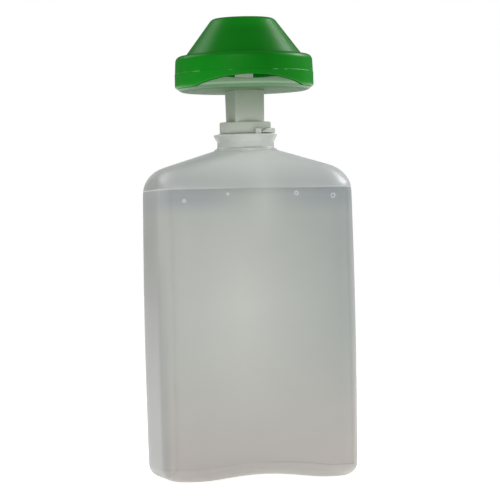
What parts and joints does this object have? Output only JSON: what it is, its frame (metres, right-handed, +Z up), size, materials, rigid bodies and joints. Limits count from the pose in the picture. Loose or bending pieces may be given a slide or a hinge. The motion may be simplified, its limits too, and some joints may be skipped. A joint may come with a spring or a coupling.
{
  "type": "eyewash bottle",
  "caption": "Translucent squeeze bottle of eyewash saline with a flat-stemmed nozzle, a round eye cup and a conical green dust cap that pulls off.",
  "frame": {"origin": "middle of the base, on the surface that the bottle stands on", "axes": "+Z up along the bottle's axis, +X across the wide faces, -Y the front"},
  "size_m": [0.1074, 0.075, 0.2473],
  "materials": {
    "bottle": "satin",
    "saline": "gloss",
    "web": "satin",
    "gasket": "matte",
    "nozzle": "satin",
    "cup": "satin",
    "diffuser": "satin",
    "cap": "satin",
    "seal": "satin"
  },
  "bodies": {
    "bottle": {"bottle_shell": "bottle", "saline_fill": "saline", "seal_web": "web", "neck_gasket": "gasket"},
    "nozzle": {"nozzle_stem": "nozzle", "eye_cup": "cup", "flow_diffuser": "diffuser"},
    "cap": {"dust_cap": "cap", "cap_seal": "seal"}
  },
  "joints": [
    {"name": "nozzle_twist", "type": "hinge", "parent": "bottle", "child": "nozzle", "pos_m": [0, 0, 0.187], "axis": [0, 0, 1], "range_deg": [0, 90]},
    {"name": "cap_lift", "type": "slide", "parent": "nozzle", "child": "cap", "axis": [0, 0, 1], "range_m": [0, 0.04]}
  ]
}
